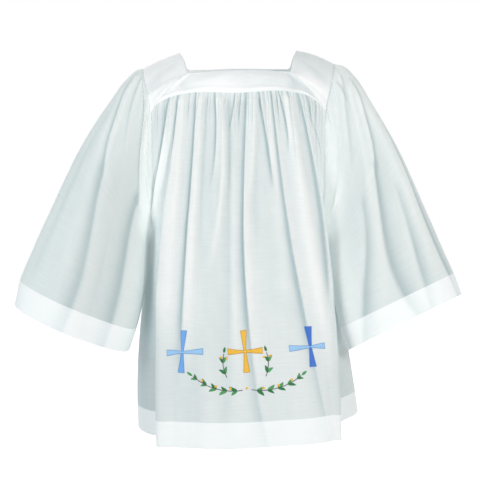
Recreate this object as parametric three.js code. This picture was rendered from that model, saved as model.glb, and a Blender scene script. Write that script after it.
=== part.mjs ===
import * as THREE from "three";

// Surplice, in millimetres. +Z is up, the front faces -Y, and the origin is at the neck, on the shoulder line.
// It keeps the shape of a standing wearer: a square yoke, gathered panels and wide bell sleeves.

const CLOTH = 1.3; // wall of single cloth
const DOUBLED = 2.4; // wall of a turned-up hem
const SEAM_GAP = 1.2; // clear distance between pieces that are sewn together, along the cloth
const SLEEVE_OFFSET = 1.85; // how far a sleeve stands off its armhole
const BODY_HEM = 58; // height of the hem band of the body
const CUFF_HEM = 57; // height of the hem band of a sleeve
const UNDERARM = 0.33; // level of the underarm, as a share of the way from the gathering seam to the hem
const CORNER = { at: 0.87, wide: 0.1, bow: 24 }; // the front corner at +X, which bows out sideways
const SIDE_REACH = 0.16; // share of a panel's width that its side edge draws along
const SEAM_TURN = 0.17; // where the gathering seam meets the armhole, as a share of the way round it
const SWAY = 26; // how far the hem hangs to +X
const SWAY_FROM = 400; // depth below the origin at which the sway begins
const LENGTH = 930; // origin to hem
const SHOULDER_LIFT = { left: -5, right: 6 }; // how much higher each end of the shoulder line is
const YOKE_CROWN = 5; // how far the yoke bows out between its edges
const PANEL_CROWN = { middle: 9, left: 6, right: 2 }; // how far a body panel bows out on its way down
const PANEL_DROP = 800; // length of a body panel down the cloth
const SLEEVE_DROP = 560; // length of a sleeve down the cloth
const YOKE_DROP = 60; // depth of the yoke below the neck edge

// Way round an armhole, from the shoulder by the front and the underarm to the back; out is away from the body.
const ARMHOLE = [
  { at: 0.0, out: 232, y: 5, z: -34 },
  { at: 0.08, out: 225, y: -42, z: -68 },
  { at: 0.17, out: 207, y: -85, z: -148 },
  { at: 0.25, out: 204, y: -95, z: -225 },
  { at: 0.33, out: 204, y: -86, z: -303 },
  { at: 0.42, out: 206, y: -46, z: -378 },
  { at: 0.5, out: 208, y: 0, z: -400 },
  { at: 0.58, out: 206, y: 46, z: -378 },
  { at: 0.67, out: 204, y: 88, z: -303 },
  { at: 0.75, out: 203, y: 99, z: -225 },
  { at: 0.83, out: 205, y: 94, z: -148 },
  { at: 0.92, out: 224, y: 52, z: -66 },
  { at: 1.0, out: 232, y: 5, z: -34 },
];

// Gathering seams, between the two armholes, from -X to +X.
const FRONT_SEAM = [
  { at: 0.0, x: -207, y: -85, z: -148 },
  { at: 0.04, x: -192, y: -91, z: -132 },
  { at: 0.1, x: -166, y: -98, z: -118 },
  { at: 0.19, x: -129, y: -104, z: -109 },
  { at: 0.5, x: 0, y: -113, z: -107 },
  { at: 0.81, x: 129, y: -104, z: -105 },
  { at: 0.9, x: 166, y: -98, z: -114 },
  { at: 0.96, x: 192, y: -91, z: -131 },
  { at: 1.0, x: 207, y: -85, z: -148 },
];
const BACK_SEAM = [
  { at: 0.0, x: -205, y: 94, z: -148 },
  { at: 0.04, x: -190, y: 101, z: -131 },
  { at: 0.1, x: -164, y: 109, z: -117 },
  { at: 0.19, x: -128, y: 116, z: -109 },
  { at: 0.5, x: 0, y: 124, z: -106 },
  { at: 0.81, x: 128, y: 116, z: -107 },
  { at: 0.9, x: 164, y: 109, z: -115 },
  { at: 0.96, x: 190, y: 101, z: -130 },
  { at: 1.0, x: 205, y: 94, z: -148 },
];

// Edge of the square neck, front and back, from shoulder to shoulder.
const FRONT_NECK = [
  { at: 0.0, x: -142, y: 8, z: 0 },
  { at: 0.12, x: -131, y: -36, z: -26 },
  { at: 0.19, x: -123, y: -68, z: -54 },
  { at: 0.205, x: -120, y: -73, z: -57 },
  { at: 0.23, x: -112, y: -75, z: -57 },
  { at: 0.5, x: 0, y: -80, z: -51 },
  { at: 0.77, x: 113, y: -75, z: -53 },
  { at: 0.795, x: 122, y: -73, z: -53 },
  { at: 0.81, x: 125, y: -68, z: -50 },
  { at: 0.88, x: 132, y: -36, z: -20 },
  { at: 1.0, x: 141, y: 8, z: 5 },
];
const BACK_NECK = [
  { at: 0.0, x: -142, y: 8, z: 0 },
  { at: 0.12, x: -133, y: 48, z: -16 },
  { at: 0.19, x: -126, y: 78, z: -33 },
  { at: 0.205, x: -122, y: 83, z: -35 },
  { at: 0.23, x: -113, y: 85, z: -35 },
  { at: 0.5, x: 0, y: 90, z: -31 },
  { at: 0.77, x: 113, y: 85, z: -33 },
  { at: 0.795, x: 122, y: 83, z: -33 },
  { at: 0.81, x: 126, y: 78, z: -31 },
  { at: 0.88, x: 133, y: 48, z: -12 },
  { at: 1.0, x: 141, y: 8, z: 5 },
];

// Hems, from side seam to side seam, before the sway. Each front corner laps over the side behind it.
const FRONT_HEM = [
  { at: 0.0, x: -275, y: 60, z: -915 },
  { at: 0.035, x: -269, y: -5, z: -916 },
  { at: 0.07, x: -255, y: -55, z: -917 },
  { at: 0.105, x: -232, y: -92, z: -918 },
  { at: 0.138, x: -203, y: -112, z: -920 },
  { at: 0.162, x: -217, y: -143, z: -929 },
  { at: 0.25, x: -172, y: -172, z: -933 },
  { at: 0.34, x: -116, y: -184, z: -934 },
  { at: 0.48, x: -20, y: -191, z: -933 },
  { at: 0.57, x: 38, y: -190, z: -930 },
  { at: 0.68, x: 156, y: -180, z: -923 },
  { at: 0.77, x: 199, y: -165, z: -918 },
  { at: 0.86, x: 216, y: -142, z: -914 },
  { at: 0.9, x: 203, y: -112, z: -893 },
  { at: 0.93, x: 224, y: -86, z: -887 },
  { at: 0.955, x: 250, y: -35, z: -885 },
  { at: 0.98, x: 265, y: 12, z: -884 },
  { at: 1.0, x: 275, y: 60, z: -883 },
];
const BACK_HEM = [
  { at: 0.0, x: -275, y: 60, z: -915 },
  { at: 0.06, x: -268, y: 116, z: -915 },
  { at: 0.13, x: -240, y: 158, z: -914 },
  { at: 0.24, x: -184, y: 186, z: -913 },
  { at: 0.37, x: -96, y: 204, z: -912 },
  { at: 0.5, x: 0, y: 211, z: -909 },
  { at: 0.63, x: 96, y: 206, z: -904 },
  { at: 0.76, x: 184, y: 188, z: -898 },
  { at: 0.87, x: 240, y: 158, z: -891 },
  { at: 0.94, x: 268, y: 116, z: -886 },
  { at: 1.0, x: 275, y: 60, z: -883 },
];

// Folds of the body: where each lies across the panel at the seam, halfway down and at the hem, its width,
// and how far it stands out (or in, below zero) at the same three levels.
const FRONT_FOLDS = [
  { top: 0.09, mid: 0.078, low: 0.07, wide: 0.032, dTop: -5, dMid: -9, dLow: -8 },
  { top: 0.155, mid: 0.145, low: 0.14, wide: 0.026, dTop: -6, dMid: -3, dLow: 0 },
  { top: 0.205, mid: 0.21, low: 0.21, wide: 0.03, dTop: 4, dMid: 6, dLow: 5 },
  { top: 0.27, mid: 0.268, low: 0.268, wide: 0.024, dTop: -7, dMid: -7, dLow: -4 },
  { top: 0.32, mid: 0.318, low: 0.32, wide: 0.026, dTop: 4, dMid: 5, dLow: 5 },
  { top: 0.374, mid: 0.365, low: 0.365, wide: 0.022, dTop: -6, dMid: -4, dLow: -3 },
  { top: 0.408, mid: 0.405, low: 0.405, wide: 0.024, dTop: 7, dMid: 6, dLow: 4 },
  { top: 0.485, mid: 0.452, low: 0.445, wide: 0.024, dTop: -6, dMid: -6, dLow: -5 },
  { top: 0.52, mid: 0.497, low: 0.49, wide: 0.026, dTop: 4, dMid: 10, dLow: 9 },
  { top: 0.572, mid: 0.545, low: 0.545, wide: 0.022, dTop: -9, dMid: -11, dLow: -8 },
  { top: 0.6, mid: 0.588, low: 0.588, wide: 0.024, dTop: 6, dMid: 5, dLow: 5 },
  { top: 0.632, mid: 0.632, low: 0.632, wide: 0.022, dTop: -8, dMid: -3, dLow: -2 },
  { top: 0.7, mid: 0.693, low: 0.69, wide: 0.024, dTop: -5, dMid: -8, dLow: -6 },
  { top: 0.745, mid: 0.74, low: 0.74, wide: 0.022, dTop: -8, dMid: -3, dLow: -2 },
  { top: 0.785, mid: 0.775, low: 0.77, wide: 0.028, dTop: 8, dMid: 7, dLow: 4 },
  { top: 0.855, mid: 0.82, low: 0.81, wide: 0.024, dTop: -8, dMid: -7, dLow: -4 },
  { top: 0.94, mid: 0.94, low: 0.945, wide: 0.024, dTop: -5, dMid: -6, dLow: -8 },
];
const BACK_FOLDS = [
  { top: 0.07, mid: 0.08, low: 0.085, wide: 0.03, dTop: -5, dMid: -11, dLow: -13 },
  { top: 0.15, mid: 0.15, low: 0.15, wide: 0.032, dTop: 4, dMid: 10, dLow: 13 },
  { top: 0.225, mid: 0.22, low: 0.215, wide: 0.028, dTop: -6, dMid: -12, dLow: -14 },
  { top: 0.3, mid: 0.295, low: 0.29, wide: 0.032, dTop: 5, dMid: 10, dLow: 13 },
  { top: 0.37, mid: 0.368, low: 0.365, wide: 0.028, dTop: -7, dMid: -10, dLow: -12 },
  { top: 0.44, mid: 0.445, low: 0.445, wide: 0.032, dTop: 5, dMid: 11, dLow: 14 },
  { top: 0.52, mid: 0.523, low: 0.525, wide: 0.028, dTop: -7, dMid: -12, dLow: -13 },
  { top: 0.6, mid: 0.603, low: 0.61, wide: 0.032, dTop: 5, dMid: 9, dLow: 12 },
  { top: 0.69, mid: 0.692, low: 0.695, wide: 0.028, dTop: -6, dMid: -11, dLow: -14 },
  { top: 0.77, mid: 0.775, low: 0.78, wide: 0.032, dTop: 4, dMid: 10, dLow: 12 },
  { top: 0.87, mid: 0.875, low: 0.875, wide: 0.03, dTop: -5, dMid: -10, dLow: -12 },
];

// Rings down a sleeve: outer end of each ring on both sides, inner end, middle line and half depth.
const SLEEVE_RINGS = [
  { at: 0.0, outLeft: 232, outRight: 232, outZ: -34, inX: 208, inZ: -400, y: 0, deep: 95 },
  { at: 0.05, outLeft: 250, outRight: 259, outZ: -43, inX: 210, inZ: -405, y: -3, deep: 95 },
  { at: 0.1, outLeft: 273, outRight: 284, outZ: -66, inX: 212, inZ: -410, y: -6, deep: 94 },
  { at: 0.2, outLeft: 310, outRight: 320, outZ: -122, inX: 215, inZ: -426, y: -14, deep: 92 },
  { at: 0.4, outLeft: 380, outRight: 385, outZ: -240, inX: 220, inZ: -470, y: -34, deep: 86 },
  { at: 0.6, outLeft: 438, outRight: 440, outZ: -370, inX: 224, inZ: -532, y: -54, deep: 81 },
  { at: 0.8, outLeft: 488, outRight: 488, outZ: -491, inX: 231, inZ: -612, y: -70, deep: 78 },
  { at: 0.9, outLeft: 511, outRight: 511, outZ: -551, inX: 243, inZ: -664, y: -76, deep: 77 },
  { at: 1.0, outLeft: 523, outRight: 529, outZ: -609, inX: 260, inZ: -716, y: -80, deep: 78 },
];
const CUFF_DROOP = { left: 12, right: -12 }; // how much lower the front of each cuff hangs than its back
const CUFF_LIFT = { left: 8, right: 27 }; // how much higher the outer end of each cuff is
const CUFF_TOE = { left: 36, right: 8 }; // turn of each cuff, which brings its outer end forward

// Folds of a sleeve: place round it at the armhole and at the cuff, width, and depth at both ends.
const SLEEVE_FOLDS = {
  left: [
    { top: 0.965, low: 0.93, wide: 0.02, dTop: -4, dLow: -6 },
    { top: 0.02, low: 0.02, wide: 0.018, dTop: -4, dLow: -5 },
    { top: 0.06, low: 0.1, wide: 0.022, dTop: 5, dLow: 8 },
    { top: 0.1, low: 0.17, wide: 0.02, dTop: -5, dLow: -11 },
    { top: 0.19, low: 0.25, wide: 0.026, dTop: 2, dLow: 9 },
    { top: 0.27, low: 0.33, wide: 0.024, dTop: -2, dLow: -10 },
    { top: 0.66, low: 0.62, wide: 0.026, dTop: -3, dLow: -10 },
    { top: 0.75, low: 0.72, wide: 0.03, dTop: 2, dLow: 9 },
    { top: 0.84, low: 0.82, wide: 0.026, dTop: -4, dLow: -10 },
  ],
  right: [
    { top: 0.97, low: 0.95, wide: 0.02, dTop: -4, dLow: -5 },
    { top: 0.03, low: 0.06, wide: 0.018, dTop: -4, dLow: -6 },
    { top: 0.08, low: 0.14, wide: 0.024, dTop: 5, dLow: 8 },
    { top: 0.13, low: 0.2, wide: 0.02, dTop: -6, dLow: -12 },
    { top: 0.2, low: 0.27, wide: 0.026, dTop: 2, dLow: 8 },
    { top: 0.28, low: 0.35, wide: 0.024, dTop: -2, dLow: -9 },
    { top: 0.65, low: 0.6, wide: 0.026, dTop: -3, dLow: -10 },
    { top: 0.74, low: 0.71, wide: 0.03, dTop: 2, dLow: 9 },
    { top: 0.83, low: 0.81, wide: 0.026, dTop: -4, dLow: -11 },
  ],
};

const clamp01 = (t) => Math.min(1, Math.max(0, t));
const ease = (t) => clamp01(t) * clamp01(t) * (3 - 2 * clamp01(t));
const lerp = (a, b, t) => a + (b - a) * t;

// Smooth curve through a table's rows: a cubic between neighbours whose slopes are those of the rows around it.
function alongRows(rows, key, at) {
  const last = rows.length - 2;
  let i = rows.findIndex((row, n) => n <= last && at <= rows[n + 1].at);
  if (i < 0) i = last;
  const slope = (n) => (rows[n + 1][key] - rows[n][key]) / (rows[n + 1].at - rows[n].at);
  const bend = (n) => {
    if (n === 0) return slope(0);
    if (n === rows.length - 1) return slope(n - 1);
    const before = rows[n].at - rows[n - 1].at;
    const after = rows[n + 1].at - rows[n].at;
    return (slope(n - 1) * after + slope(n) * before) / (before + after);
  };
  const wide = rows[i + 1].at - rows[i].at;
  const t = (at - rows[i].at) / wide;
  const rise = t * t * (3 - 2 * t);
  const start = t * (1 - t) * (1 - t) * wide;
  const end = t * t * (t - 1) * wide;
  return rows[i][key] * (1 - rise) + rows[i + 1][key] * rise + bend(i) * start + bend(i + 1) * end;
}

// A fold's profile: a soft bump that dies away within about two widths.
const bump = (distance, wide) => Math.exp(-((distance / wide) ** 2));

const point = (rows, at) => new THREE.Vector3(...["x", "y", "z"].map((key) => alongRows(rows, key, at)));

function armhole(side, at) {
  const out = alongRows(ARMHOLE, "out", at);
  const lift = (side < 0 ? SHOULDER_LIFT.left : SHOULDER_LIFT.right) * bump(Math.min(at, 1 - at), 0.09);
  return new THREE.Vector3(side * out, alongRows(ARMHOLE, "y", at), alongRows(ARMHOLE, "z", at) + lift);
}

// Side edge of a body panel: down the armhole from the gathering seam, then down the side seam.
function sideEdge(side, hemEnd, front, v) {
  const turn = front ? SEAM_TURN : 1 - SEAM_TURN;
  if (v < UNDERARM) return armhole(side, lerp(turn, 0.5, v / UNDERARM));
  return armhole(side, 0.5).lerp(hemEnd, (v - UNDERARM) / (1 - UNDERARM));
}

function bodyFold(folds, u, v) {
  const level = (a, b, c) => (v < 0.5 ? lerp(a, b, v * 2) : lerp(b, c, v * 2 - 1));
  return folds.reduce((sum, fold) => {
    const middle = level(fold.top, fold.mid, fold.low);
    return sum + level(fold.dTop, fold.dMid, fold.dLow) * bump(u - middle, fold.wide);
  }, 0);
}

// A body panel: each column hangs from the seam to the hem, drawn towards the side edges near them,
// bowed a little, and moved out or in by the folds.
function bodyPanel(seam, hem, folds, front) {
  const ends = [
    { side: -1, at: 0, from: point(seam, 0), to: point(hem, 0), crown: PANEL_CROWN.left },
    { side: 1, at: 1, from: point(seam, 1), to: point(hem, 1), crown: PANEL_CROWN.right },
  ];
  const plain = (u, v) => {
    const p = point(seam, u).lerp(point(hem, u), v);
    for (const end of ends) {
      const drawn = clamp01(1 - Math.abs(u - end.at) / SIDE_REACH) ** 2;
      const edge = sideEdge(end.side, end.to, front, v);
      p.addScaledVector(edge.sub(end.from.clone().lerp(end.to, v)), drawn);
    }
    return p;
  };
  return (u, v) => {
    const p = plain(u, v);
    const step = 0.004;
    const across = plain(Math.min(1, u + step), v).sub(plain(Math.max(0, u - step), v));
    const out = new THREE.Vector3(across.y, -across.x, 0).normalize().multiplyScalar(front ? 1 : -1);
    const shade = ease(u / 0.06) * ease((1 - u) / 0.06) * ease(v / 0.03);
    const sideways = clamp01(Math.abs(2 * u - 1)) ** 4;
    out.lerp(new THREE.Vector3(u < 0.5 ? -1 : 1, 0, 0), sideways ** 3);
    const crown = lerp(PANEL_CROWN.middle, u < 0.5 ? ends[0].crown : ends[1].crown, sideways);
    const below = clamp01((v - UNDERARM * sideways) / (1 - UNDERARM * sideways));
    p.addScaledVector(out, crown * Math.sin(Math.PI * below ** 1.5) + bodyFold(folds, u, v) * shade);
    if (front) {
      const bowed = bump(u - CORNER.at, CORNER.wide) * ease((1 - u) / 0.1);
      p.x += CORNER.bow * bowed * Math.sin(Math.PI * v);
    }
    p.x += SWAY * clamp01((-p.z - SWAY_FROM) / (LENGTH - SWAY_FROM)) ** 1.5;
    return p;
  };
}

// A yoke: straight from the neck edge to the armhole and the seam, bowed out between them.
function yoke(neck, seam, front) {
  const turn = front ? SEAM_TURN : 1 - SEAM_TURN;
  const start = front ? 0 : 1;
  const outer = (u) => {
    if (u < 0.2) return armhole(-1, lerp(start, turn, u / 0.2));
    if (u > 0.8) return armhole(1, lerp(start, turn, (1 - u) / 0.2));
    return point(seam, (u - 0.2) / 0.6);
  };
  return (u, v) => {
    const p = point(neck, u).lerp(outer(u), v);
    const crown = YOKE_CROWN * Math.sin(Math.PI * v);
    p.z += crown;
    p.y += (front ? -crown : crown) * 0.7 * ease(Math.min(u, 1 - u) / 0.2);
    return p;
  };
}

// A sleeve: flat ovals run down to the cuff, turned more and more towards the front by the toe,
// and the first of them are drawn to the armhole's own shape.
function sleeve(side, folds, lift, droop, toe) {
  const oval = (u, v) => {
    const ring = (key) => alongRows(SLEEVE_RINGS, key, v);
    const turn = 2 * Math.PI * u;
    const toOuter = (1 + Math.cos(turn)) / 2;
    const outX = ring(side < 0 ? "outLeft" : "outRight");
    return new THREE.Vector3(
      side * lerp(ring("inX"), outX, toOuter),
      ring("y") - ring("deep") * Math.sin(turn) - toe * v * (0.6 + Math.cos(turn)),
      lerp(ring("inZ"), ring("outZ"), toOuter) + lift * v ** 4 * toOuter - droop * v * v * Math.sin(turn),
    );
  };
  return (u, v) => {
    const turn = 2 * Math.PI * u;
    const p = oval(u, v).addScaledVector(armhole(side, u).sub(oval(u, 0)), 1 - ease(v / 0.3));
    const out = oval(0, v).sub(oval(0.5, v)).setY(0).normalize().multiplyScalar(Math.cos(turn));
    out.y = -Math.sin(turn);
    const depth = folds.reduce((sum, fold) => {
      const apart = Math.abs(u - lerp(fold.top, fold.low, v));
      return sum + lerp(fold.dTop, fold.dLow, v) * bump(Math.min(apart, 1 - apart), fold.wide);
    }, 0);
    p.x += side * SLEEVE_OFFSET * (0.35 + 0.65 * Math.sin(turn / 2));
    return p.addScaledVector(out, depth * ease(v / 0.08));
  };
}

const share = (from, to, count) => Array.from({ length: count + 1 }, (_, n) => lerp(from, to, n / count));

// A wall of even thickness on a surface of two parameters. A closed one runs round in its first parameter.
function wall(name, surface, us, vs, thickness, colour, closed = false, flip = 1) {
  const rows = vs.length;
  const cols = closed ? us.length - 1 : us.length;
  const step = 0.003;
  const outer = [];
  const inner = [];
  for (let i = 0; i < cols; i++) {
    for (const v of vs) {
      const u = us[i];
      const before = closed ? (u - step + 1) % 1 : Math.max(0, u - step);
      const after = closed ? (u + step) % 1 : Math.min(1, u + step);
      const across = surface(after, v).sub(surface(before, v));
      const down = surface(u, Math.min(1, v + step)).sub(surface(u, Math.max(0, v - step)));
      const inward = across.cross(down).normalize().multiplyScalar(flip * thickness);
      const p = surface(u, v);
      outer.push(p);
      inner.push(p.clone().add(inward));
    }
  }
  const positions = [...outer, ...inner].flatMap((p) => [p.x, p.y, p.z]);
  const index = [];
  const half = outer.length;
  const quad = (a, b, c, d) => index.push(...(flip > 0 ? [a, b, c, a, c, d] : [a, c, b, a, d, c]));
  const id = (i, j) => (i % cols) * rows + j;
  const spans = closed ? cols : cols - 1;
  for (let i = 0; i < spans; i++) {
    for (let j = 0; j < rows - 1; j++) {
      quad(id(i, j), id(i, j + 1), id(i + 1, j + 1), id(i + 1, j));
      quad(half + id(i, j), half + id(i + 1, j), half + id(i + 1, j + 1), half + id(i, j + 1));
    }
    quad(id(i, 0), id(i + 1, 0), half + id(i + 1, 0), half + id(i, 0));
    quad(id(i, rows - 1), half + id(i, rows - 1), half + id(i + 1, rows - 1), id(i + 1, rows - 1));
  }
  if (!closed) {
    for (let j = 0; j < rows - 1; j++) {
      quad(id(0, j), half + id(0, j), half + id(0, j + 1), id(0, j + 1));
      quad(id(cols - 1, j), id(cols - 1, j + 1), half + id(cols - 1, j + 1), half + id(cols - 1, j));
    }
  }
  const geometry = new THREE.BufferGeometry();
  geometry.setAttribute("position", new THREE.Float32BufferAttribute(positions, 3));
  geometry.setIndex(index);
  geometry.computeVertexNormals();
  const material = new THREE.MeshStandardMaterial({ color: colour, roughness: 0.85, metalness: 0 });
  const mesh = new THREE.Mesh(geometry, material);
  mesh.name = name;
  return mesh;
}

const WHITE = 0xe4eaea;
const HEM_WHITE = 0xf0f3f3;
const garment = new THREE.Group();
garment.name = "surplice";

// Places round an armhole and down the panels' side edges that the pieces share, so that their facets meet.
const headSteps = share(0, SEAM_TURN, 5);
const sideSteps = share(SEAM_TURN, 0.5, 8);
const round = [...headSteps, ...sideSteps.slice(1)];
const wholeRound = [...round, ...round.map((at) => 1 - at).reverse().slice(1)];
const columns = share(0, 1, 44).map((t) => clamp01(lerp(t, 0.5 - 0.5 * Math.cos(Math.PI * t), 0.45)));
const inset = (list, gap) => list.map((at) => Math.min(1 - gap, Math.max(gap, at)));
const hemLine = 1 - BODY_HEM / PANEL_DROP;
const topGap = (1.33 * SEAM_GAP) / PANEL_DROP;
for (const [face, seam, hem, folds, neck] of [
  ["front", FRONT_SEAM, FRONT_HEM, FRONT_FOLDS, FRONT_NECK],
  ["back", BACK_SEAM, BACK_HEM, BACK_FOLDS, BACK_NECK],
]) {
  const front = face === "front";
  const flip = front ? 1 : -1;
  const panel = bodyPanel(seam, hem, folds, front);
  const across = inset(columns, 0.0005);
  const levels = [...share(0, UNDERARM, 8), ...share(UNDERARM, hemLine - topGap / 2, 6).slice(1)];
  levels[0] = topGap;
  garment.add(wall("body_" + face, panel, across, levels, CLOTH, WHITE, false, flip));
  const band = inset(columns, 0.001);
  garment.add(wall("hem_" + face, panel, band, share(hemLine, 1, 1), DOUBLED, HEM_WHITE, false, flip));
  const shoulders = headSteps.map((at) => (0.2 * at) / SEAM_TURN);
  const seamSteps = columns.slice(1, -1).map((at) => 0.2 + 0.6 * at);
  const yokeSteps = inset([...shoulders, ...seamSteps, ...shoulders.map((at) => 1 - at).reverse()], 0.0026);
  const bandLevels = share(0, 1 - SEAM_GAP / YOKE_DROP, 3);
  garment.add(wall("yoke_" + face, yoke(neck, seam, front), yokeSteps, bandLevels, CLOTH, WHITE, false, flip));
}
for (const [name, side] of [
  ["left", -1],
  ["right", 1],
]) {
  const tube = sleeve(side, SLEEVE_FOLDS[name], CUFF_LIFT[name], CUFF_DROOP[name], CUFF_TOE[name]);
  const flip = -side;
  const cuffLine = 1 - CUFF_HEM / SLEEVE_DROP;
  const levels = share(0, cuffLine - SEAM_GAP / 2 / SLEEVE_DROP, 9);
  garment.add(wall("sleeve_" + name, tube, wholeRound, levels, CLOTH, WHITE, true, flip));
  garment.add(wall("cuff_" + name, tube, wholeRound, share(cuffLine, 1, 1), DOUBLED, HEM_WHITE, true, flip));
}

export default garment;
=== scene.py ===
import math
import bpy
import numpy as np
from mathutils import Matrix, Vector


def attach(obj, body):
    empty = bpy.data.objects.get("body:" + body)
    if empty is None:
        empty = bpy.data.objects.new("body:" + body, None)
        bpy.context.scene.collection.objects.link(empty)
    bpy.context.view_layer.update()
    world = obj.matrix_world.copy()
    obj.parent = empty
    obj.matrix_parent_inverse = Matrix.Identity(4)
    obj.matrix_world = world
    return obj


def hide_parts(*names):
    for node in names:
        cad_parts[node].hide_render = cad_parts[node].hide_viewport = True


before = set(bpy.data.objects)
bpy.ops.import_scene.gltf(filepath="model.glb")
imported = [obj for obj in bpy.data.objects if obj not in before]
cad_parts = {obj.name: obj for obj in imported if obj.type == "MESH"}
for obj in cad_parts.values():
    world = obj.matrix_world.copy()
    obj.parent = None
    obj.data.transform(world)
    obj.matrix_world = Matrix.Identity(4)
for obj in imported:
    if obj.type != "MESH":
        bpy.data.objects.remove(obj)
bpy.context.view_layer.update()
print("surplice: frame loaded")

# view
view = dict(place=(0.010, -3.4, -0.358), tiltDown=1.87, lens=102.3)
cameraData = bpy.data.cameras.new("studioCamera")
cameraData.lens = view["lens"]
cameraData.clip_end = 60
camera = bpy.data.objects.new("studioCamera", cameraData)
camera.location = view["place"]
camera.rotation_euler = (math.radians(90 - view["tiltDown"]), 0, 0)
bpy.context.scene.collection.objects.link(camera)
bpy.context.scene.camera = camera

# cut and stance, in millimetres or parts of a length; values by side have -1 for left and 1 for right
stance = dict(seamTurn=0.17, underarm=0.33, sideReach=0.16, sway=26, swayFrom=400, length=930,
              cornerAt=0.87, cornerWide=0.1, cornerBow=24, crownMiddle=9, crownLeft=9, crownRight=6,
              shoulderLift={-1: -5, 1: 6}, yokeCrown=5, rollHeight=3.4, rollAt=0.90, tuck=0.012,
              foldDepth=1.2, sleeveDepth=0.8, yokeDepth=2.2, seamSwell=2.2, broaden=1.2, hemCalm=0.4,
              sleeveSquare=0.7, innerReach=7, bodyHem=58 / 800, cuffHem=57 / 560)
# how white the cloth is painted, 0 to 1, as painted highlights and painted shade; and a painted glow in
# places
paintedTone = dict(plain=0.62, ridges=0.38, foldTone=9, seam=0.2, upper={-1: 0.10, 1: 0.28},
                seamLine={-1: 0.25, 1: 0.6}, strip=0.35, hemPlain=0.7, hemFolds=0.8)
paintedGlow = dict(through=0.1, left=0.12, right=0.05, inner={-1: 0.02, 1: 0.13}, strip={-1: 0.12, 1: 0.07},
                outer={-1: 0.11, 1: 0.08})
armholeRows = dict(  # way round an armhole: shoulder, front, underarm, back, shoulder
    at=[0, 0.08, 0.17, 0.25, 0.33, 0.42, 0.5, 0.58, 0.67, 0.75, 0.83, 0.92, 1],
    out=[232, 225, 207, 204, 204, 206, 208, 206, 204, 203, 205, 224, 232],
    y=[5, -42, -85, -95, -86, -46, 0, 46, 88, 99, 94, 52, 5],
    z=[-34, -68, -148, -225, -303, -378, -400, -378, -303, -225, -148, -66, -34])
frontSeamRows = dict(
    at=[0, 0.04, 0.1, 0.19, 0.5, 0.81, 0.9, 0.96, 1],
    x=[-207, -192, -166, -129, 0, 129, 166, 192, 207],
    y=[-85, -91, -98, -104, -113, -104, -98, -91, -85],
    z=[-148, -132, -118, -109, -107, -105, -114, -131, -148])
backSeamRows = dict(
    at=[0, 0.04, 0.1, 0.19, 0.5, 0.81, 0.9, 0.96, 1],
    x=[-205, -190, -164, -128, 0, 128, 164, 190, 205],
    y=[94, 101, 109, 116, 124, 116, 109, 101, 94],
    z=[-148, -131, -117, -109, -106, -107, -115, -130, -148])
frontNeckRows = dict(
    at=[0, 0.12, 0.195, 0.205, 0.215, 0.24, 0.5, 0.76, 0.785, 0.795, 0.805, 0.88, 1],
    x=[-142, -131, -121.5, -120, -117, -109, 0, 110, 118, 121.5, 123, 132, 141],
    y=[8, -36, -70.5, -74.5, -74.8, -75.2, -80, -75.2, -74.8, -74.5, -70.5, -36, 8],
    z=[0, -26, -56, -57.5, -57.4, -56.8, -51, -53, -53.3, -53.4, -52, -20, 5])
backNeckRows = dict(
    at=[0, 0.12, 0.19, 0.205, 0.23, 0.5, 0.77, 0.795, 0.81, 0.88, 1],
    x=[-142, -133, -126, -122, -113, 0, 113, 122, 126, 133, 141],
    y=[8, 48, 78, 83, 85, 90, 85, 83, 78, 48, 8],
    z=[0, -16, -33, -35, -35, -31, -33, -33, -31, -12, 5])
frontHemRows = dict(
    at=[0, 0.035, 0.07, 0.105, 0.138, 0.162, 0.25, 0.34, 0.48,
        0.57, 0.68, 0.77, 0.86, 0.9, 0.93, 0.955, 0.98, 1],
    x=[-275, -269, -255, -232, -203, -217, -172, -116, -20, 38, 156, 199, 216, 203, 224, 250, 265, 275],
    y=[60, -5, -55, -92, -112, -143, -172, -184, -191, -190, -180, -165, -142, -112, -86, -35, 12, 60],
    z=[-915, -916, -917, -918, -920, -929, -933, -934, -933,
       -930, -923, -918, -914, -893, -887, -885, -884, -883])
backHemRows = dict(
    at=[0, 0.06, 0.13, 0.24, 0.37, 0.5, 0.63, 0.76, 0.87, 0.94, 1],
    x=[-275, -268, -240, -184, -96, 0, 96, 184, 240, 268, 275],
    y=[60, 116, 158, 186, 204, 211, 206, 188, 158, 116, 60],
    z=[-915, -915, -914, -913, -912, -909, -904, -898, -891, -886, -883])
sleeveRows = dict(  # rings down a sleeve: outer end on both sides, inner end, middle line and half depth
    at=[0, 0.05, 0.1, 0.2, 0.4, 0.6, 0.8, 0.9, 1],
    outLeft=[232, 250, 273, 310, 380, 438, 488, 511, 523],
    outRight=[232, 259, 284, 320, 385, 440, 488, 511, 529],
    outZ=[-34, -43, -66, -122, -240, -370, -491, -551, -609],
    inX=[208, 210, 212, 215, 220, 224, 231, 243, 260],
    inZ=[-400, -405, -410, -426, -470, -532, -612, -664, -716],
    y=[0, -3, -6, -14, -34, -54, -70, -76, -80],
    deep=[95, 95, 94, 92, 86, 81, 78, 77, 78])
cuffHang = {-1: dict(lift=8, droop=12, toe=36), 1: dict(lift=27, droop=-12, toe=8)}


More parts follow.
